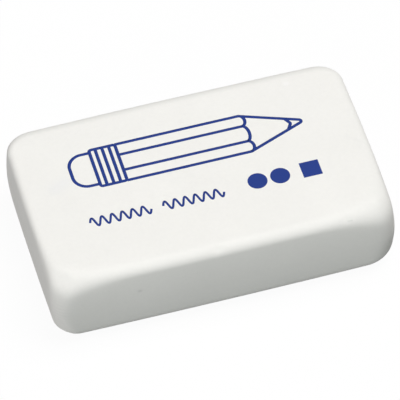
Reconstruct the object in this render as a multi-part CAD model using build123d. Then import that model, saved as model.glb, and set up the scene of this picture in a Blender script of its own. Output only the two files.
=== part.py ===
"""Block eraser, moulded in one piece from soft white rubber.

The block lies flat on its base. Its sides and ends bow a little in plan and
swell a little at half height, its upright corners are round, and its top and
bottom edges are rolled over, the bottom one with the larger radius. One
section of the flank holds the swell and both rolls, and it is carried round
the whole plan, turning about a point at each corner. Millimetres, +Z up,
origin at the centre of the base.
"""

import os

from build123d import *

# Size of the block before its flanks swell, across the middle of each side
block_length = 40.2
block_width = 24.1
block_height = 10.5

# How far the middle of each end and of each long side stands out in plan
end_bow = 0.12
side_bow = 0.16

# How far the flank stands out at half height
flank_swell = 0.33

# Radii of the upright corners, in plan, and of the rolled edges
corner_radius = 3.3
top_edge_radius = 1.2
base_edge_radius = 2.5

up = Vector(0, 0, 1)


def bowed_plan():
    """The plan of the block with sharp corners and four bowed sides."""
    half_length = block_length / 2
    half_width = block_width / 2
    corner_x = half_length - end_bow
    corner_y = half_width - side_bow
    front = ThreePointArc((-corner_x, -corner_y), (0, -half_width), (corner_x, -corner_y))
    right = ThreePointArc((corner_x, -corner_y), (half_length, 0), (corner_x, corner_y))
    back = ThreePointArc((corner_x, corner_y), (0, half_width), (-corner_x, corner_y))
    left = ThreePointArc((-corner_x, corner_y), (-half_length, 0), (-corner_x, -corner_y))
    return make_face([front, right, back, left])


def flank_section():
    """The section from a corner's centre out to the swollen flank, with both rolled edges."""
    flank_middle = (corner_radius + flank_swell, block_height / 2)
    base = Line((0, 0), (corner_radius, 0))
    flank = ThreePointArc((corner_radius, 0), flank_middle, (corner_radius, block_height))
    top = Line((corner_radius, block_height), (0, block_height))
    inner = Line((0, block_height), (0, 0))
    section = make_face([base, flank, top, inner])
    for level, radius in ((0, base_edge_radius), (block_height, top_edge_radius)):
        edge_point = section.vertices().sort_by_distance((corner_radius, level))[0]
        section = fillet(edge_point, radius)
    return section


def turned_flank(start, outward, centre, angle):
    """The flank section, set outwards at a start point and turned about an upright line."""
    section_plane = Plane(start, x_dir=outward, z_dir=outward.cross(up))
    return revolve(section_plane * flank_section(), axis=Axis(centre, up), revolution_arc=angle)


def eraser_block():
    """The flank carried along the four bows and round the four corners of the core."""
    core_plan = offset(bowed_plan(), -corner_radius)
    block = extrude(core_plan, block_height)
    sides = core_plan.faces()[0].outer_wire().order_edges()
    for side, next_side in zip(sides, sides[1:] + sides[:1]):
        start, corner = side @ 0, side @ 1
        outward = (start - side.arc_center).normalized()
        corner_outward = (corner - side.arc_center).normalized()
        next_outward = (corner - next_side.arc_center).normalized()
        block += turned_flank(start, outward, side.arc_center, outward.get_angle(corner_outward))
        block += turned_flank(corner, corner_outward, corner, corner_outward.get_angle(next_outward))
    return block


os.makedirs("parts", exist_ok=True)
export_step(eraser_block(), "parts/eraser_block.step")
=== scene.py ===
"""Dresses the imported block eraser: its moulded rubber, its printed mark and its stage.

Everything is made in metres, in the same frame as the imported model: +X along
the length, +Y across the width towards the back, +Z up through the printed
face, with the origin at the centre of the base. Small places and sizes are
written in millimetres and scaled by MM.
"""

import math
from typing import NamedTuple

import bpy
from bpy.props import FloatProperty, FloatVectorProperty, PointerProperty
from mathutils import Matrix, Vector


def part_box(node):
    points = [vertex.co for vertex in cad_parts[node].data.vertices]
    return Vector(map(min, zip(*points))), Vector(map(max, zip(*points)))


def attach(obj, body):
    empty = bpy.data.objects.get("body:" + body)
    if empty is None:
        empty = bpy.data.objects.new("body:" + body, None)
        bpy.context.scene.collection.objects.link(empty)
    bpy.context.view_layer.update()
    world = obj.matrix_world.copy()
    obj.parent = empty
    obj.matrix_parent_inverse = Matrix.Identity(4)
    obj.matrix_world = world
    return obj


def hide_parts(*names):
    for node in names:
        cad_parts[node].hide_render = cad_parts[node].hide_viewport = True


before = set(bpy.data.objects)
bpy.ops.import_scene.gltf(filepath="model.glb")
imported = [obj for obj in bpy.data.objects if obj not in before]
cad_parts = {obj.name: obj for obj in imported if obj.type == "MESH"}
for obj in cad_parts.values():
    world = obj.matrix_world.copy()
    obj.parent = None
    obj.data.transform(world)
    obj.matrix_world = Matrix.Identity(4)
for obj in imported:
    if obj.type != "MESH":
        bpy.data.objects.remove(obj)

bl_info = {
    "name": "Block eraser",
    "version": (1, 0, 0),
    "blender": (4, 5, 0),
    "location": "3D View > Sidebar > Eraser",
    "description": "Makes a soft white block eraser with a printed mark, and its stage",
    "category": "Object",
}

BLOCK_NODE = "eraser_block"
BODY = "root"
MM = 0.001

BLOCK_LOW, BLOCK_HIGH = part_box(BLOCK_NODE)
BLOCK_SIZE = BLOCK_HIGH - BLOCK_LOW


# Settings


def length_property(name, description, millimetres):
    """A length in metres, given by its size in millimetres."""
    return FloatProperty(
        name=name, description=description, default=millimetres * MM,
        precision=5, subtype="DISTANCE", unit="LENGTH",
    )


def share_property(name, description, share):
    """A plain factor."""
    return FloatProperty(name=name, description=description, default=share, min=0.0, precision=4)


def colour_property(name, description, colour):
    """A colour in linear light."""
    return FloatVectorProperty(
        name=name, description=description, default=colour,
        size=3, min=0.0, max=1.0, subtype="COLOR",
    )


def power_property(name, description, watts):
    """The power of a lamp."""
    return FloatProperty(name=name, description=description, default=watts, min=0.0, unit="POWER")


def angle_property(name, description, degrees):
    """An angle in radians, given in degrees."""
    return FloatProperty(
        name=name, description=description, default=math.radians(degrees),
        subtype="ANGLE", unit="ROTATION",
    )


class EraserBlockSettings(bpy.types.PropertyGroup):
    """Form and finish of the rubber block"""

    length_share: share_property("Length share", "Length against that of the plain solid", 1.0067)
    width_share: share_property("Width share", "Width against that of the plain solid", 1.0116)
    flank_swell: length_property("Flank swell", "How far each flank stands out at half height", 0.424)
    end_bow: length_property("End bow", "How far the middle of each end stands out in plan", 0.12)
    side_bow: length_property("Side bow", "How far the middle of each side stands out in plan", 0.16)
    front_left: length_property("Front left corner", "Its plan radius at half height", 1.62)
    front_right: length_property("Front right corner", "Its plan radius at half height", 2.7)
    back_left: length_property("Back left corner", "Its plan radius at half height", 3.3)
    back_right: length_property("Back right corner", "Its plan radius at half height", 3.1)
    corner_spread: length_property("Corner spread", "How much larger those radii are at the base", 1.1)
    worn_spread: length_property("Worn spread", "How much larger the front left one is at the top", 1.6)
    worn_flat: share_property("Worn flat", "How much flatter than round the front left one is", 0.09)
    top_front_edge: length_property("Top front edge", "Radius of the top edge at the front", 1.15)
    top_back_edge: length_property("Top back edge", "Radius of the top edge at the back", 1.6)
    top_left_edge: length_property("Top left edge", "Radius of the top edge at the left end", 0.85)
    top_right_edge: length_property("Top right edge", "Radius of the top edge at the right end", 0.8)
    left_wear: length_property("Left wear", "Extra top edge radius at the front left corner", 1.6)
    right_wear: length_property("Right wear", "Extra top edge radius at the front right corner", 1.6)
    wear_reach: length_property("Wear reach", "How far from its corner the wear fades", 4.4)
    base_edge: length_property("Base edge", "Radius of the rolled bottom edge", 2.2)
    lean_length: length_property("Lean in length", "How far the top sits to +X of the base", -0.404)
    lean_width: length_property("Lean in width", "How far the top sits to +Y of the base", 0.033)
    mesh_step: length_property("Mesh step", "Size of one face of the mesh", 0.21)
    wave_height: length_property("Wave height", "Height of the slow unevenness of the surface", 0.05)
    pit_depth: length_property("Pit depth", "Depth of the small pits left by handling", 0.012)
    rubber_colour: colour_property("Rubber colour", "Colour of the clean rubber", (0.90, 0.89, 0.86))


class EraserMarkSettings(bpy.types.PropertyGroup):
    """Sizes and colour of the printed mark"""

    line_weight: length_property("Line weight", "Width of the outlines of the drawing", 0.39)
    fine_weight: length_property("Fine weight", "Width of the waved rules", 0.27)
    corner_round: length_property("Corner round", "Radius at the corners of the outlines", 0.25)
    ink_thickness: length_property("Ink thickness", "Thickness of the printed ink", 0.02)
    ink_colour: colour_property("Ink colour", "Colour of the ink", (0.0165, 0.045, 0.255))


class EraserStageSettings(bpy.types.PropertyGroup):
    """Floor, light and camera"""

    floor_level: share_property("Floor level", "Paleness of the floor to the eye", 0.95)
    floor_bounce: share_property("Floor bounce", "Share of its light that the floor throws back", 0.2)
    floor_shadow: share_property("Floor shadow", "How much of the block's shadow is kept", 0.05)
    shadow_reach: length_property("Shadow reach", "How far out the floor turns pure white", 80.0)
    camera_azimuth: angle_property("Camera azimuth", "Turn about the block, 0 from the front", -14.275)
    camera_elevation: angle_property("Camera elevation", "Height of the view above level", 50.12)
    camera_roll: angle_property("Camera roll", "Turn of the camera about its own axis", -2.09)
    camera_distance: length_property("Camera distance", "From the block's middle to the camera", 500.0)
    camera_right: length_property("Camera right", "Shift of the camera to its own right", 0.067)
    camera_up: length_property("Camera up", "Shift of the camera to its own top", -0.11)
    focal_length: FloatProperty(
        name="Focal length", description="Focal length on a 36 mm sensor", default=390.0, unit="CAMERA",
    )
    overhead_power: power_property("Overhead power", "Power of the large lamp above", 18.3)
    overhead_colour: colour_property("Overhead colour", "Colour of that lamp", (0.98, 0.955, 0.96))
    low_power: power_property("Low power", "Power of the low lamp at the front left", 10.0)
    low_colour: colour_property("Low colour", "Colour of that lamp", (0.97, 1.0, 1.0))
    side_power: power_property("Side power", "Power of the small lamp at the left", 2.0)
    side_colour: colour_property("Side colour", "Colour of that lamp", (1.0, 0.8, 0.85))
    room_level: share_property("Room level", "Strength of the even light of the room", 0.165)
    room_colour: colour_property("Room colour", "Colour of that light", (0.85, 1.0, 0.93))


def sizes_of(settings):
    """The plain numbers of a settings group, by their labels."""
    return {
        item.name: getattr(settings, item.identifier)
        for item in settings.bl_rna.properties if item.type == "FLOAT" and not item.is_array
    }


# Node trees


class Formula:
    """A value in a node tree. Its arithmetic adds Math nodes, so that a rule reads as one line."""

    def __init__(self, builder, socket):
        self.builder = builder
        self.socket = socket

    def math(self, operation, *others):
        node = self.builder.add("ShaderNodeMath", operation=operation)
        for socket, value in zip(node.inputs, (self, *others)):
            self.builder.feed(socket, value)
        return Formula(self.builder, node.outputs[0])

    def __add__(self, other):
        return self.math("ADD", other)

    def __sub__(self, other):
        return self.math("SUBTRACT", other)

    def __rsub__(self, other):
        return -self + other

    def __mul__(self, other):
        return self.math("MULTIPLY", other)

    def __truediv__(self, other):
        return self.math("DIVIDE", other)

    def __neg__(self):
        return self.math("MULTIPLY", -1.0)

    def at_least(self, other):
        return self.math("MAXIMUM", other)

    def at_most(self, other):
        return self.math("MINIMUM", other)

    def above(self, other):
        return self.math("GREATER_THAN", other)

    def squared(self):
        return self.math("POWER", 2.0)

    def size(self):
        return self.math("ABSOLUTE")

    def sign(self):
        return self.math("SIGN")

    def bell(self):
        """One at nothing, fading to nothing either side."""
        return (-self.squared()).math("EXPONENT")


def hypotenuse(one, other):
    """The length of the long side of a right triangle."""
    return (one.squared() + other.squared()).math("SQRT")


def nearness(across, along, scale):
    """A share that is one where both offsets are nothing, and fades over the scale."""
    return (hypotenuse(across, along) / scale).bell()


def between(start, stop, share):
    """The value a share of the way from start to stop."""
    return start + (stop - start) * share


class Builder:
    """Adds nodes to a tree, feeds their inputs and sets them out in rows."""

    ROW = 12
    GAP = 190

    def __init__(self, tree):
        self.tree = tree
        self.count = 0

    def add(self, kind, **settings):
        node = self.tree.nodes.new(kind)
        for name, value in settings.items():
            setattr(node, name, value)
        node.location = (self.count % self.ROW * self.GAP, -(self.count // self.ROW) * self.GAP)
        self.count += 1
        return node

    def feed(self, socket, value):
        """Links a socket or a formula to an input, or writes a plain value into it."""
        if isinstance(value, Formula):
            value = value.socket
        if isinstance(value, bpy.types.NodeSocket):
            self.tree.links.new(value, socket)
        else:
            socket.default_value = value

    def node(self, kind, inputs, **settings):
        """A node with its inputs fed by name, or by place where names repeat."""
        node = self.add(kind, **settings)
        for key, value in inputs.items():
            self.feed(node.inputs[key], value)
        return node

    def formula(self, socket):
        return Formula(self, socket)

    def parts(self, vector):
        """The three formulas of a vector's parts."""
        node = self.node("ShaderNodeSeparateXYZ", {0: vector})
        return [self.formula(socket) for socket in node.outputs]

    def vector(self, x, y, z):
        return self.node("ShaderNodeCombineXYZ", {0: x, 1: y, 2: z}).outputs[0]

    def colour(self, red, green, blue):
        return self.node("ShaderNodeCombineColor", {0: red, 1: green, 2: blue}).outputs[0]

    def vector_math(self, operation, one, other):
        return self.node("ShaderNodeVectorMath", {0: one, 1: other}, operation=operation)

    def scaled(self, vector, scale):
        return self.node("ShaderNodeVectorMath", {0: vector, "Scale": scale}, operation="SCALE").outputs[0]

    def distance(self, one, other, label):
        """How far two places are apart, from a node that carries a label."""
        node = self.vector_math("DISTANCE", one, other)
        node.label = label
        return self.formula(node.outputs["Value"])

    def noise(self, vector, scale, detail, **inputs):
        """A noise that swings about zero. With a W among its inputs it is a seeded one."""
        dimensions = "4D" if "W" in inputs else "3D"
        fed = {"Vector": vector, "Scale": scale, "Detail": detail, **inputs}
        node = self.node("ShaderNodeTexNoise", fed, noise_dimensions=dimensions)
        return self.formula(node.outputs[0]) - 0.5

    def moved(self, geometry, **inputs):
        """The geometry with its points at a new Position, or shifted by an Offset."""
        return self.node("GeometryNodeSetPosition", {"Geometry": geometry, **inputs}).outputs[0]


SOCKET_KINDS = {
    float: "NodeSocketFloat",
    bpy.types.Material: "NodeSocketMaterial",
    bpy.types.Object: "NodeSocketObject",
}


def geometry_tree(name, values):
    """A geometry tree with a named input for each value, its builder, and what those inputs give."""
    tree = bpy.data.node_groups.new(name, "GeometryNodeTree")
    tree.interface.new_socket("Geometry", in_out="INPUT", socket_type="NodeSocketGeometry")
    for label, value in values.items():
        tree.interface.new_socket(label, in_out="INPUT", socket_type=SOCKET_KINDS[type(value)])
    tree.interface.new_socket("Geometry", in_out="OUTPUT", socket_type="NodeSocketGeometry")
    build = Builder(tree)
    group = build.add("NodeGroupInput")
    given = {label: build.formula(group.outputs[label]) for label in ("Geometry", *values)}
    return tree, build, given


def close_tree(build, geometry, material):
    """Ends a geometry tree in Realize Instances and Set Material."""
    realized = build.node("GeometryNodeRealizeInstances", {0: geometry}).outputs[0]
    coloured = build.node("GeometryNodeSetMaterial", {"Geometry": realized, "Material": material})
    build.node("NodeGroupOutput", {0: coloured.outputs[0]})


def grown_mesh(name, host_mesh, tree, values):
    """An object whose mesh is what a geometry tree makes of a host mesh."""
    host = bpy.data.objects.new(name + "_host", host_mesh)
    bpy.context.scene.collection.objects.link(host)
    modifier = host.modifiers.new("grow", "NODES")
    modifier.node_group = tree
    for item in tree.interface.items_tree:
        if item.in_out == "INPUT" and item.name in values:
            modifier[item.identifier] = values[item.name]
    graph = bpy.context.evaluated_depsgraph_get()
    graph.update()
    grown = host.evaluated_get(graph)
    mesh = bpy.data.meshes.new_from_object(grown, preserve_all_data_layers=True, depsgraph=graph)
    mesh.name = name
    bpy.data.objects.remove(host)
    piece = bpy.data.objects.new(name, mesh)
    bpy.context.scene.collection.objects.link(piece)
    return piece


# The block's form


class Dent(NamedTuple):
    """A soft hollow in the surface, in millimetres."""

    place: tuple
    radius: float
    depth: float


DENTS = {
    "edge_nick": Dent(place=(14.3, -11.9, 10.4), radius=0.45, depth=0.22),
    "edge_kink": Dent(place=(-1.1, -11.8, 10.3), radius=0.5, depth=0.12),
    "top_pock": Dent(place=(13.3, 9.6, 10.5), radius=0.35, depth=0.05),
}

# How many waves and pits there are in a metre of the surface, and which of their patterns is taken
WAVE_SCALE = 130.0
PIT_SCALE = 900.0
SURFACE_SEED = 4.0

# Share of the worn corner's flatness that is gone at the base
FLAT_FADE = 0.65

# How often the worn corners are smoothed, and how strongly at the top
RUB_ROUNDS = 16
RUB_STRENGTH = 1.4

# The least that a divisor may be
TINY = 1e-9


def plan_corner(given, rise, right, back):
    """Plan radius of each corner, larger towards the base, and at the worn one towards the top too."""
    worn = given["Front left corner"] + given["Worn spread"] * rise.at_least(0.0).squared()
    front_corner = between(worn, given["Front right corner"], right)
    back_corner = between(given["Back left corner"], given["Back right corner"], right)
    return between(front_corner, back_corner, back) + given["Corner spread"] * (-rise).at_least(0.0)


def worn_shares(given, x, y, half_length, half_width):
    """How near a place is to the front left corner, and to the front right one."""
    from_front = y + half_width
    left_share = nearness(x + half_length, from_front, given["Wear reach"])
    right_share = nearness(x - half_length, from_front, given["Wear reach"])
    return left_share, right_share


def top_edge(given, turn, right, back):
    """Radius of the top edge: each side has its own, which turns into the next one's round the corner."""
    long_edge = between(given["Top front edge"], given["Top back edge"], back)
    end_edge = between(given["Top left edge"], given["Top right edge"], right)
    return between(long_edge, end_edge, turn)


def moulded_place(build, given, half_length, half_width):
    """Where each point of a plain box lies on the block: rounded, rolled, swollen, bowed and leant."""
    half_height = given["Height"] * 0.5
    x, y, z = build.parts(build.add("GeometryNodeInputPosition").outputs[0])
    right = x.above(0.0)
    back = y.above(0.0)
    rise = z / half_height
    corner = plan_corner(given, rise, right, back)

    # Plan: square rings about a corner's centre become round ones
    core_x = x.size().at_most(half_length - corner)
    core_y = y.size().at_most(half_width - corner)
    out_x = x.size() - core_x
    out_y = y.size() - core_y
    reach = out_x.at_least(out_y)
    slant = hypotenuse(out_x, out_y).at_least(TINY)
    turn = (out_x / slant).squared()
    plan_x = x.sign() * (core_x + out_x / slant * reach)
    plan_y = y.sign() * (core_y + out_y / slant * reach)

    # Section: the square top and bottom edges become rolled ones
    left_share, right_share = worn_shares(given, plan_x, plan_y, half_length, half_width)
    wear = given["Left wear"] * left_share + given["Right wear"] * right_share
    worn_edge = (top_edge(given, turn, right, back) + wear).at_most(corner)
    edge = between(given["Base edge"].at_most(corner), worn_edge, z.above(0.0))
    over = (z.size() - (half_height - edge)).at_least(0.0)
    beyond = (reach - (corner - edge)).at_least(0.0)
    pull = over.at_least(beyond).at_least(TINY) / hypotenuse(over, beyond).at_least(TINY)
    rolled_reach = reach - beyond + beyond * pull

    # The worn corner is a little flat, most halfway round it, and less towards the base
    flat = given["Worn flat"] * (1.0 - right) * (1.0 - back) * (rise * FLAT_FADE + 1.0).at_most(1.0)
    rolled_reach = rolled_reach * (1.0 - turn * (1.0 - turn) * flat * 4.0)
    rolled_x = x.sign() * (core_x + out_x / slant * rolled_reach)
    rolled_y = y.sign() * (core_y + out_y / slant * rolled_reach)
    rolled_z = z.sign() * (z.size() - over + over * pull)

    # Swell, bow and lean
    level = rolled_z / half_height
    swell = given["Flank swell"] * (1.0 - level.squared())
    bow_x = given["End bow"] * (1.0 - (rolled_y / half_width).squared()).at_least(0.0)
    bow_y = given["Side bow"] * (1.0 - (rolled_x / half_length).squared()).at_least(0.0)
    form_x = rolled_x * ((swell + bow_x) / half_length + 1.0) + given["Lean in length"] * level * 0.5
    form_y = rolled_y * ((swell + bow_y) / half_width + 1.0) + given["Lean in width"] * level * 0.5
    return build.vector(form_x, form_y, rolled_z + half_height)


def rubbed(build, geometry, given, half_length, half_width):
    """The geometry with its two front corners rubbed smooth, most at the top."""
    place = build.add("GeometryNodeInputPosition").outputs[0]
    x, y, z = build.parts(place)
    left_share, right_share = worn_shares(given, x, y, half_length, half_width)
    weight = (left_share + right_share) * (z / given["Height"]).squared() * RUB_STRENGTH
    smoothed = build.node("GeometryNodeBlurAttribute", {
        "Value": place, "Iterations": RUB_ROUNDS, "Weight": weight.at_most(1.0),
    }, data_type="FLOAT_VECTOR")
    return build.moved(geometry, Position=smoothed.outputs[0])


def uneven(build, geometry, given):
    """The geometry with waves, pits and dents, the first two fading to nothing at the flat base."""
    place = build.add("GeometryNodeInputPosition").outputs[0]
    normal = build.add("GeometryNodeInputNormal").outputs[0]
    height = build.parts(place)[2]
    fade = (height / given["Base edge"]).at_most(1.0)
    waves = build.noise(place, WAVE_SCALE, detail=1.0, W=given["Seed"])
    pits = build.noise(place, PIT_SCALE, detail=2.0, W=given["Seed"])
    offset = (waves * given["Wave height"] + pits * given["Pit depth"]) * fade
    for name, dent in DENTS.items():
        ratio = build.distance(place, Vector(dent.place) * MM, name) / (dent.radius * MM)
        offset = offset - ratio.bell() * (dent.depth * MM)
    return build.moved(geometry, Offset=build.scaled(normal, offset))


def block_tree(values):
    """Rounds, swells, leans and roughens a fine-meshed box into the moulded block."""
    tree, build, given = geometry_tree("block_form", values)
    half_length = given["Length"] * 0.5 - given["Flank swell"] - given["End bow"]
    half_width = given["Width"] * 0.5 - given["Flank swell"] - given["Side bow"]
    counts = {
        "Vertices " + axis: (given[label] / given["Mesh step"]).math("CEIL") + 1.0
        for axis, label in (("X", "Length"), ("Y", "Width"), ("Z", "Height"))
    }
    box_size = build.vector(half_length * 2.0, half_width * 2.0, given["Height"])
    box = build.node("GeometryNodeMeshCube", {"Size": box_size, **counts})
    place = moulded_place(build, given, half_length, half_width)
    formed = build.moved(box.outputs["Mesh"], Position=place)
    handled = rubbed(build, formed, given, half_length, half_width)
    roughened = uneven(build, handled, given)
    smooth = build.node("GeometryNodeSetShadeSmooth", {"Geometry": roughened})
    close_tree(build, smooth.outputs[0], given["Material"])
    return tree


# The printed mark, its places and sizes in millimetres on the top face


PENCIL_MIDDLE = 3.65
PENCIL_HALF = 2.8
FACET_HALF = PENCIL_HALF * 0.42
CAP_LEFT = -14.1
CAP_HALF = PENCIL_HALF * 0.86
CAP_RADIUS = 1.7
FERRULE_LEFT = -11.3
FERRULE_RIGHT = -8.2
BAND_SHARES = (0.24, 0.5, 0.76)
PAINT_RIGHT = 6.6
SCALLOP_BULGE = 0.55
PENCIL_TIP = 13.8
LEAD_LENGTH = 2.2
LEAD_BULGE = 0.5

RULE_LEVEL = -4.05
RULE_WAVE = 1.2
RULE_SWING = 0.62
RULE_WAVES = 6
RULE_STARTS = (-13.9, -5.3)

BOLD_LEVEL = -3.6
DISC_RADIUS = 1.15
DISC_PLACES = (6.0, 8.7)
SQUARE_PLACE = 12.35
SQUARE_SIDE = 2.25

# Steps along an arc of the cap, and along a scallop
CAP_STEPS = 12
SCALLOP_STEPS = 8

# Spacing of the points along the outlines, and how many there are in one wave of a rule
OUTLINE_STEP = 0.12
WAVE_POINTS = 24

# Level from which the ink drops on to the block, as a share of the block's height
DROP_SHARE = 1.5


def arc(centre, radii, start, stop, steps):
    """Points along an arc with a radius in x and one in y, its angles in degrees."""
    angles = [math.radians(start + (stop - start) * index / steps) for index in range(steps + 1)]
    return [
        (centre[0] + radii[0] * math.cos(angle), centre[1] + radii[1] * math.sin(angle))
        for angle in angles
    ]


def pencil_cap():
    """The round-cornered end of the pencil, open towards the ferrule."""
    centre_x = CAP_LEFT + CAP_RADIUS
    radii = (CAP_RADIUS, CAP_RADIUS)
    upper = arc((centre_x, PENCIL_MIDDLE + CAP_HALF - CAP_RADIUS), radii, 90, 180, CAP_STEPS)
    lower = arc((centre_x, PENCIL_MIDDLE - CAP_HALF + CAP_RADIUS), radii, 180, 270, CAP_STEPS)
    start = (FERRULE_LEFT, PENCIL_MIDDLE + CAP_HALF)
    stop = (FERRULE_LEFT, PENCIL_MIDDLE - CAP_HALF)
    return [start, *upper, *lower, stop]


def paint_scallops():
    """The waved edge where the paint ends, one scallop to each facet."""
    levels = (-PENCIL_HALF, -FACET_HALF, FACET_HALF, PENCIL_HALF)
    points = []
    for low, high in zip(levels, levels[1:]):
        centre = (PAINT_RIGHT, PENCIL_MIDDLE + (low + high) / 2)
        points += arc(centre, (SCALLOP_BULGE, (high - low) / 2), -90, 90, SCALLOP_STEPS)
    return points


def pencil_lines():
    """The outlines of a drawn pencil as (points, closed)."""
    top = PENCIL_MIDDLE + PENCIL_HALF
    bottom = PENCIL_MIDDLE - PENCIL_HALF
    ferrule = [(FERRULE_LEFT, top), (FERRULE_LEFT, bottom), (FERRULE_RIGHT, bottom), (FERRULE_RIGHT, top)]
    lines = [(pencil_cap(), False), (ferrule, True)]
    for share in BAND_SHARES:
        band_x = FERRULE_LEFT + (FERRULE_RIGHT - FERRULE_LEFT) * share
        lines.append(([(band_x, top), (band_x, bottom)], False))
    lines.append((paint_scallops(), False))
    for level in (PENCIL_MIDDLE - FACET_HALF, PENCIL_MIDDLE + FACET_HALF):
        lines.append(([(FERRULE_RIGHT, level), (PAINT_RIGHT, level)], False))
    body = [
        (FERRULE_RIGHT, bottom), (PAINT_RIGHT, bottom), (PENCIL_TIP, PENCIL_MIDDLE),
        (PAINT_RIGHT, top), (FERRULE_RIGHT, top),
    ]
    lines.append((body, False))
    lead_left = PENCIL_TIP - LEAD_LENGTH
    lead_half = PENCIL_HALF * (PENCIL_TIP - lead_left) / (PENCIL_TIP - PAINT_RIGHT)
    lead = [
        (lead_left, PENCIL_MIDDLE - lead_half), (lead_left + LEAD_BULGE, PENCIL_MIDDLE),
        (lead_left, PENCIL_MIDDLE + lead_half),
    ]
    lines.append((lead, False))
    return lines


def line_mesh(name, lines):
    """A mesh of edges that follow the lines, at level nought."""
    points = []
    edges = []
    for line, closed in lines:
        first = len(points)
        points += [Vector((x, y, 0.0)) * MM for x, y in line]
        edges += [(index, index + 1) for index in range(first, len(points) - 1)]
        if closed:
            edges.append((len(points) - 1, first))
    mesh = bpy.data.meshes.new(name)
    mesh.from_pydata(points, edges, [])
    return mesh


def ink_ribbon(build, curve, weight, thickness):
    """A flat strip of ink along a curve."""
    upright = build.node("GeometryNodeSetCurveNormal", {"Curve": curve}, mode="Z_UP")
    section = build.node("GeometryNodeCurvePrimitiveQuadrilateral", {"Width": weight, "Height": thickness})
    ribbon = build.node("GeometryNodeCurveToMesh", {
        "Curve": upright.outputs[0], "Profile Curve": section.outputs[0], "Fill Caps": True,
    })
    return ribbon.outputs[0]


def inked_outlines(build, given):
    """The edges of the host mesh as round-cornered lines of ink."""
    drawn = build.node("GeometryNodeMeshToCurve", {"Mesh": given["Geometry"]})
    rounded = build.node("GeometryNodeFilletCurve", {
        "Curve": drawn.outputs[0], "Radius": given["Corner round"], "Limit Radius": True, "Count": 5,
    }, mode="POLY")
    fine = build.node("GeometryNodeResampleCurve", {
        "Curve": rounded.outputs[0], "Length": OUTLINE_STEP * MM,
    }, mode="LENGTH")
    return ink_ribbon(build, fine.outputs[0], given["Line weight"], given["Ink thickness"])


def waved_rule(build, given, start):
    """A rule of even waves that starts at a place along the length."""
    stop = start + RULE_WAVES * RULE_WAVE
    rule = build.node("GeometryNodeCurvePrimitiveLine", {
        "Start": (start * MM, RULE_LEVEL * MM, 0.0), "End": (stop * MM, RULE_LEVEL * MM, 0.0),
    })
    spread = build.node("GeometryNodeResampleCurve", {
        "Curve": rule.outputs[0], "Count": RULE_WAVES * WAVE_POINTS,
    })
    along = build.formula(build.add("GeometryNodeSplineParameter").outputs["Factor"])
    swing = (along * (2 * math.pi * RULE_WAVES)).math("SINE") * (RULE_SWING * MM)
    waved = build.moved(spread.outputs[0], Offset=build.vector(0.0, swing, 0.0))
    return ink_ribbon(build, waved, given["Fine weight"], given["Ink thickness"])


def disc_row(build, given):
    """Round discs in a row."""
    disc = build.node("GeometryNodeMeshCylinder", {
        "Vertices": 64, "Side Segments": 1, "Fill Segments": 12,
        "Radius": DISC_RADIUS * MM, "Depth": given["Ink thickness"],
    })
    first, last = DISC_PLACES
    row = build.node("GeometryNodeMeshLine", {
        "Count": len(DISC_PLACES), "Start Location": (first * MM, BOLD_LEVEL * MM, 0.0),
        "Offset": ((last - first) * MM, 0.0, 0.0),
    })
    discs = build.node("GeometryNodeInstanceOnPoints", {
        "Points": row.outputs[0], "Instance": disc.outputs[0],
    })
    return discs.outputs[0]


def square_plate(build, given):
    """A square, made as a cylinder of four sides, so that its faces can follow the block."""
    plate = build.node("GeometryNodeMeshCylinder", {
        "Vertices": 4, "Side Segments": 1, "Fill Segments": 2,
        "Radius": SQUARE_SIDE * MM / math.sqrt(2), "Depth": given["Ink thickness"],
    })
    fine = build.node("GeometryNodeSubdivideMesh", {"Mesh": plate.outputs["Mesh"], "Level": 3})
    square = build.node("GeometryNodeTransform", {
        "Geometry": fine.outputs[0], "Translation": (SQUARE_PLACE * MM, BOLD_LEVEL * MM, 0.0),
        "Rotation": (0.0, 0.0, math.radians(45)),
    })
    return square.outputs[0]


def laid_on_block(build, geometry, given):
    """The ink with each of its points dropped on to the block below it."""
    block = build.node("GeometryNodeObjectInfo", {"Object": given["Block"]})
    x, y, z = build.parts(build.add("GeometryNodeInputPosition").outputs[0])
    ray = build.node("GeometryNodeRaycast", {
        "Target Geometry": block.outputs["Geometry"],
        "Source Position": build.vector(x, y, given["Top level"] * DROP_SHARE),
        "Ray Direction": (0.0, 0.0, -1.0),
    })
    ground = build.parts(ray.outputs["Hit Position"])[2]
    return build.moved(geometry, Position=build.vector(x, y, ground + z))


def mark_tree(values):
    """Draws the outlines, the waved rules, the discs and the square in ink, and lays them on the block."""
    tree, build, given = geometry_tree("ink_mark", values)
    together = build.add("GeometryNodeJoinGeometry")
    inked = [
        inked_outlines(build, given),
        *(waved_rule(build, given, start) for start in RULE_STARTS),
        disc_row(build, given),
        square_plate(build, given),
    ]
    for geometry in inked:
        build.feed(together.inputs[0], geometry)
    whole = build.node("GeometryNodeRealizeInstances", {0: together.outputs[0]})
    laid = laid_on_block(build, whole.outputs[0], given)
    close_tree(build, laid, given["Material"])
    return tree


# Materials


class StainAndShade(NamedTuple):
    """A stain, or the painted shade of a nick, between two points, in millimetres, with its colour and its
    strength.
    """

    start: tuple
    stop: tuple
    radius: float
    colour: tuple
    strength: float


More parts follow.
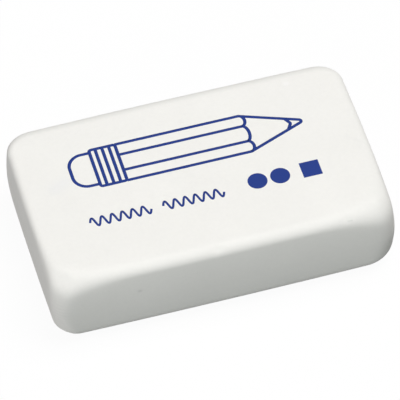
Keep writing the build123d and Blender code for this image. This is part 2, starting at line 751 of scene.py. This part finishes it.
STAINS_AND_SHADE = {
    "grey_streak": StainAndShade(
        start=(17.6, -0.1, 10.5), stop=(19.0, -1.3, 10.5), radius=0.25,
        colour=(0.45, 0.47, 0.5), strength=0.045,
    ),
    "blue_smear": StainAndShade(
        start=(-16.4, 2.0, 10.5), stop=(-15.2, 2.6, 10.5), radius=0.9,
        colour=(0.45, 0.55, 0.85), strength=0.05,
    ),
    # Painted shade: a dark line along the nick in the top front edge that stands in for its shadow, not a
    # mark on the rubber
    "nick_painted_shade": StainAndShade(
        start=(14.3, -11.78, 9.81), stop=(14.75, -11.8, 9.79), radius=0.09,
        colour=(0.25, 0.27, 0.25), strength=0.17,
    ),
    "dark_speck": StainAndShade(
        start=(-10.52, -12.42, 6.95), stop=(-10.42, -12.42, 6.95), radius=0.2,
        colour=(0.12, 0.12, 0.12), strength=0.14,
    ),
    "pale_speck": StainAndShade(
        start=(13.2, 9.6, 10.5), stop=(13.4, 9.6, 10.5), radius=0.25,
        colour=(1.0, 1.0, 1.0), strength=0.3,
    ),
}

# Fine level ridges of the mould on the front left corner, in millimetres
RIDGE_PLACE = (-19.7, -11.8)
RIDGE_REACH = 1.1
RIDGE_LEVEL = 5.6
RIDGE_HEIGHT = 1.7
RIDGE_PITCH = 0.54

# How many clouds, grains and finer grains there are in a metre of the surface
CLOUD_SCALE = 140.0
GRAIN_SCALE = 2600.0
FINE_SCALE = 9000.0

# How much each of them sways the tint, the roughness and the height that the bump reads; what the ridges
# add to the tint is painted light and shade on them
CLOUD_TINT = 0.05
GRAIN_TINT = 0.05
RIDGE_PAINTED_SHADING = 0.02
MEAN_ROUGHNESS = 0.78
GRAIN_ROUGHNESS = 0.2
GRAIN_HEIGHT = 0.7
FINE_HEIGHT = 0.3
RIDGE_BUMP = 0.7


def new_material(name):
    """A material, the builder that fills it, and its Principled shader."""
    material = bpy.data.materials.new(name)
    material.use_nodes = True
    material.node_tree.nodes.clear()
    build = Builder(material.node_tree)
    return material, build, build.add("ShaderNodeBsdfPrincipled")


def object_place(build):
    return build.add("ShaderNodeTexCoord").outputs["Object"]


def chalky_grain_group():
    """Slow clouding and fine grain, for the rubber and for the ink that lies on it."""
    tree = bpy.data.node_groups.new("chalky_grain", "ShaderNodeTree")
    strength = tree.interface.new_socket("Strength", in_out="INPUT", socket_type="NodeSocketFloat")
    strength.default_value = 1.0
    for label in ("Tint", "Roughness", "Height"):
        tree.interface.new_socket(label, in_out="OUTPUT", socket_type="NodeSocketFloat")
    build = Builder(tree)
    group = build.add("NodeGroupInput")
    end = build.add("NodeGroupOutput")
    place = object_place(build)
    clouds = build.noise(place, CLOUD_SCALE, detail=2.0)
    grain = build.noise(place, GRAIN_SCALE, detail=3.0)
    fine = build.noise(place, FINE_SCALE, detail=2.0)
    sway = clouds * CLOUD_TINT + grain * GRAIN_TINT
    build.feed(end.inputs["Tint"], sway * group.outputs["Strength"] + 1.0)
    build.feed(end.inputs["Roughness"], grain * GRAIN_ROUGHNESS + MEAN_ROUGHNESS)
    build.feed(end.inputs["Height"], grain * GRAIN_HEIGHT + fine * FINE_HEIGHT)
    return tree


def stained_and_shaded(build, place, colour):
    """The colour with each stain, and the painted shade along the nick, laid over it."""
    for name, spot in STAINS_AND_SHADE.items():
        start = Vector(spot.start) * MM
        run = Vector(spot.stop) * MM - start
        offset = build.vector_math("SUBTRACT", place, start).outputs["Vector"]
        along = build.formula(build.vector_math("DOT_PRODUCT", offset, run).outputs["Value"])
        nearest = build.scaled(run, (along / run.length_squared).at_least(0.0).at_most(1.0))
        share = (build.distance(offset, nearest, name) / (spot.radius * MM)).bell() * spot.strength
        tone = (*spot.colour, 1.0)
        mixed = build.node("ShaderNodeMixRGB", {"Fac": share, "Color1": colour, "Color2": tone})
        colour = mixed.outputs[0]
    return colour


def ridges(build, place):
    """Fine level ridges on the front left corner, fading at their ends."""
    x, y, z = build.parts(place)
    column = nearness(x - RIDGE_PLACE[0] * MM, y - RIDGE_PLACE[1] * MM, RIDGE_REACH * MM)
    fade = ((z - RIDGE_LEVEL * MM) / (RIDGE_HEIGHT * MM)).bell()
    return (z * (2 * math.pi / (RIDGE_PITCH * MM))).math("SINE") * column * fade


def rubber_material(settings, grain_group):
    """Matt, chalky white rubber."""
    material, build, shader = new_material("chalky_white_rubber")
    grain = build.add("ShaderNodeGroup", node_tree=grain_group)
    place = object_place(build)
    ridge = ridges(build, place)
    # The ridge wave in the colour is painted light and shade of the ridges; their bump below is the real
    # relief
    tint = build.formula(grain.outputs["Tint"]) + ridge * RIDGE_PAINTED_SHADING
    clean = build.colour(*(tint * part for part in settings.rubber_colour))
    build.feed(shader.inputs["Base Color"], stained_and_shaded(build, place, clean))
    build.feed(shader.inputs["Roughness"], grain.outputs["Roughness"])
    height = build.formula(grain.outputs["Height"]) + ridge * RIDGE_BUMP
    bump = build.node("ShaderNodeBump", {"Height": height, "Strength": 0.35, "Distance": 0.02 * MM})
    build.feed(shader.inputs["Normal"], bump.outputs[0])
    shader.inputs["IOR"].default_value = 1.45
    shader.inputs["Specular IOR Level"].default_value = 0.12
    build.node("ShaderNodeOutputMaterial", {"Surface": shader.outputs[0]})
    return material


def ink_material(settings, grain_group):
    """Thin blue ink that shows the rubber's grain."""
    material, build, shader = new_material("pad_printed_ink")
    grain = build.node("ShaderNodeGroup", {"Strength": 3.0}, node_tree=grain_group)
    tint = build.formula(grain.outputs["Tint"])
    build.feed(shader.inputs["Base Color"], build.colour(*(tint * part for part in settings.ink_colour)))
    build.feed(shader.inputs["Roughness"], grain.outputs["Roughness"])
    shader.inputs["Specular IOR Level"].default_value = 0.3
    build.node("ShaderNodeOutputMaterial", {"Surface": shader.outputs[0]})
    return material


def seen_by(build, *rays):
    """One for the named kinds of ray, and nothing for others."""
    path = build.add("ShaderNodeLightPath")
    first, *others = (build.formula(path.outputs[ray]) for ray in rays)
    for other in others:
        first = first.at_least(other)
    return first


def floor_material(settings):
    """A pale floor that the camera sees as white paper with a faint shadow on it."""
    material, build, shader = new_material("white_paper_floor")
    seen = seen_by(build, "Is Camera Ray", "Is Glossy Ray", "Is Transmission Ray")
    level = seen * (settings.floor_level - settings.floor_bounce) + settings.floor_bounce
    build.feed(shader.inputs["Base Color"], build.colour(level, level, level))
    shader.inputs["Roughness"].default_value = 0.9
    shader.inputs["Specular IOR Level"].default_value = 0.0
    glow = build.node("ShaderNodeEmission", {"Color": (1.0, 1.0, 1.0, 1.0), "Strength": 1.0})
    x, y = build.parts(object_place(build))[:2]
    near = nearness(x, y, settings.shadow_reach)
    share = seen * (1.0 - near * settings.floor_shadow)
    mixed = build.node("ShaderNodeMixShader", {0: share, 1: shader.outputs[0], 2: glow.outputs[0]})
    build.node("ShaderNodeOutputMaterial", {"Surface": mixed.outputs[0]})
    return material


# Operators


class ERASER_OT_make_block(bpy.types.Operator):
    """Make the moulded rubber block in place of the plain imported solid"""

    bl_idname = "eraser.make_block"
    bl_label = "Make block"

    def execute(self, context):
        settings = context.scene.eraser_block
        values = sizes_of(settings)
        values["Length"] = BLOCK_SIZE.x * values.pop("Length share")
        values["Width"] = BLOCK_SIZE.y * values.pop("Width share")
        values["Height"] = BLOCK_SIZE.z
        values["Seed"] = SURFACE_SEED
        values["Material"] = rubber_material(settings, chalky_grain_group())
        host = bpy.data.meshes.new("block_host")
        block = grown_mesh("rubber_block", host, block_tree(values), values)
        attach(block, BODY)
        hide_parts(BLOCK_NODE)
        return {"FINISHED"}


class ERASER_OT_print_mark(bpy.types.Operator):
    """Print the blue mark on the top face"""

    bl_idname = "eraser.print_mark"
    bl_label = "Print mark"

    def execute(self, context):
        settings = context.scene.eraser_mark
        values = sizes_of(settings)
        values["Top level"] = BLOCK_HIGH.z
        values["Block"] = bpy.data.objects["rubber_block"]
        values["Material"] = ink_material(settings, bpy.data.node_groups["chalky_grain"])
        host = line_mesh("pencil_lines", pencil_lines())
        mark = grown_mesh("printed_mark", host, mark_tree(values), values)
        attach(mark, BODY)
        return {"FINISHED"}


class Lamp(NamedTuple):
    """Where a lamp stands, in degrees round from the front and up from level, and its size in metres."""

    azimuth: float
    elevation: float
    size: float


LAMPS = {
    "overhead": Lamp(azimuth=85, elevation=72, size=0.86),
    "low": Lamp(azimuth=-45, elevation=5, size=0.6),
    "side": Lamp(azimuth=-90, elevation=15, size=0.6),
}

# Lengths of the stage, in metres
LAMP_DISTANCE = 1.4
FLOOR_HALF = 2.0
CLIP_NEAR = 0.01
CLIP_FAR = 20.0


def direction(azimuth, elevation):
    """The direction at an angle round from the front and up from level."""
    level = math.cos(elevation)
    return Vector((math.sin(azimuth) * level, -math.cos(azimuth) * level, math.sin(elevation)))


class ERASER_OT_set_stage(bpy.types.Operator):
    """Set the floor, the room, the lamps and the camera"""

    bl_idname = "eraser.set_stage"
    bl_label = "Set stage"

    def execute(self, context):
        settings = context.scene.eraser_stage
        self.lay_floor(context, settings)
        self.whiten_room(context, settings)
        for name, lamp in LAMPS.items():
            self.place_lamp(context, settings, name, lamp)
        self.place_camera(context, settings)
        context.scene.view_settings.view_transform = "Standard"
        return {"FINISHED"}

    def lay_floor(self, context, settings):
        """A square floor under the block."""
        signs = ((-1, -1), (1, -1), (1, 1), (-1, 1))
        corners = [(x * FLOOR_HALF, y * FLOOR_HALF, 0.0) for x, y in signs]
        mesh = bpy.data.meshes.new("floor")
        mesh.from_pydata(corners, [], [(0, 1, 2, 3)])
        mesh.materials.append(floor_material(settings))
        floor = bpy.data.objects.new("floor", mesh)
        context.scene.collection.objects.link(floor)

    def whiten_room(self, context, settings):
        """A white background for the camera, and an even light of its own level for the block."""
        world = bpy.data.worlds.new("white_room")
        context.scene.world = world
        world.use_nodes = True
        world.node_tree.nodes.clear()
        build = Builder(world.node_tree)
        seen = seen_by(build, "Is Camera Ray", "Is Transmission Ray")
        levels = [part * settings.room_level for part in settings.room_colour]
        colour = build.colour(*(seen * (1.0 - level) + level for level in levels))
        background = build.node("ShaderNodeBackground", {"Color": colour, "Strength": 1.0})
        build.node("ShaderNodeOutputWorld", {"Surface": background.outputs[0]})

    def place_lamp(self, context, settings, name, lamp):
        """A square lamp that faces the block."""
        back = direction(math.radians(lamp.azimuth), math.radians(lamp.elevation))
        data = bpy.data.lights.new(name + "_lamp", "AREA")
        data.shape = "SQUARE"
        data.size = lamp.size
        data.energy = getattr(settings, name + "_power")
        data.color = getattr(settings, name + "_colour")
        holder = bpy.data.objects.new(name + "_lamp", data)
        holder.location = back * LAMP_DISTANCE
        holder.rotation_mode = "QUATERNION"
        holder.rotation_quaternion = back.to_track_quat("Z", "Y")
        context.scene.collection.objects.link(holder)

    def place_camera(self, context, settings):
        """A camera that looks at the middle of the block, shifted and rolled a little."""
        azimuth, roll = settings.camera_azimuth, settings.camera_roll
        back = direction(azimuth, settings.camera_elevation)
        level_right = Vector((math.cos(azimuth), math.sin(azimuth), 0.0))
        right = level_right * math.cos(roll) + back.cross(level_right) * math.sin(roll)
        above = back.cross(right)
        middle = Vector((0.0, 0.0, BLOCK_HIGH.z / 2))
        middle += right * settings.camera_right + above * settings.camera_up
        data = bpy.data.cameras.new("camera")
        data.lens = settings.focal_length
        data.clip_start = CLIP_NEAR
        data.clip_end = CLIP_FAR
        camera = bpy.data.objects.new("camera", data)
        turn = Matrix((right, above, back)).transposed().to_4x4()
        camera.matrix_world = Matrix.Translation(middle + back * settings.camera_distance) @ turn
        context.scene.collection.objects.link(camera)
        context.scene.camera = camera


# The settings on the scene, by name, with the step that each feeds
STEPS = {
    "eraser_block": (EraserBlockSettings, "eraser.make_block"),
    "eraser_mark": (EraserMarkSettings, "eraser.print_mark"),
    "eraser_stage": (EraserStageSettings, "eraser.set_stage"),
}


class VIEW3D_PT_eraser(bpy.types.Panel):
    """Sizes, colours and steps of the eraser"""

    bl_label = "Eraser"
    bl_space_type = "VIEW_3D"
    bl_region_type = "UI"
    bl_category = "Eraser"

    def draw(self, context):
        for name, (group, step) in STEPS.items():
            column = self.layout.column(align=True)
            for setting in group.__annotations__:
                column.prop(getattr(context.scene, name), setting)
            column.operator(step)


CLASSES = (
    EraserBlockSettings, EraserMarkSettings, EraserStageSettings,
    ERASER_OT_make_block, ERASER_OT_print_mark, ERASER_OT_set_stage, VIEW3D_PT_eraser,
)


def register():
    for cls in CLASSES:
        bpy.utils.register_class(cls)
    for name, (group, step) in STEPS.items():
        setattr(bpy.types.Scene, name, PointerProperty(type=group))


def unregister():
    for name in STEPS:
        delattr(bpy.types.Scene, name)
    for cls in reversed(CLASSES):
        bpy.utils.unregister_class(cls)


def main():
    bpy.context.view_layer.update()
    register()
    bpy.ops.eraser.make_block()
    bpy.ops.eraser.print_mark()
    bpy.ops.eraser.set_stage()
    bpy.context.view_layer.update()


if __name__ == "__main__":
    main()
